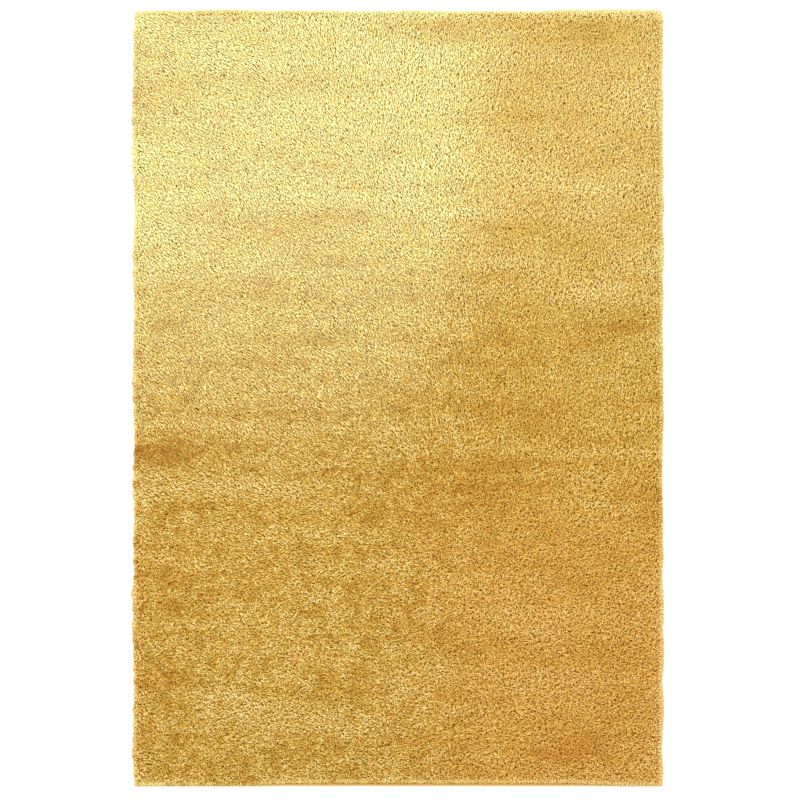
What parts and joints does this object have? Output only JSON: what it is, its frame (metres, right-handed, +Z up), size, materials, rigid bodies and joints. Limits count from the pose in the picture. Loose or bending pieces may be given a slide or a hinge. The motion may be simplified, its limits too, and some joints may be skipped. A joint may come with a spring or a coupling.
{
  "type": "shag rug",
  "caption": "Rectangular shag rug lying flat: thick golden cut pile on a woven ground, its edges overcast in matching yarn.",
  "frame": {"origin": "centre of the rug's outline, on the floor", "axes": "+X across the rug, +Y along it from the near end, where the binding shows, to the far end, +Z up out of the pile"},
  "size_m": [1.5195, 2.219, 0.0321],
  "materials": {
    "pile_yarn": "heat-set twisted synthetic yarn, cut pile, mottled gold",
    "binding_yarn": "overcast amber yarn",
    "ground_cloth": "woven ground of jute-coloured weft, seen from below"
  },
  "bodies": {
    "root": {"pile_cloth": "pile_yarn", "binding_near": "binding_yarn", "binding_far": "binding_yarn", "binding_left": "binding_yarn", "binding_right": "binding_yarn"}
  },
  "joints": []
}
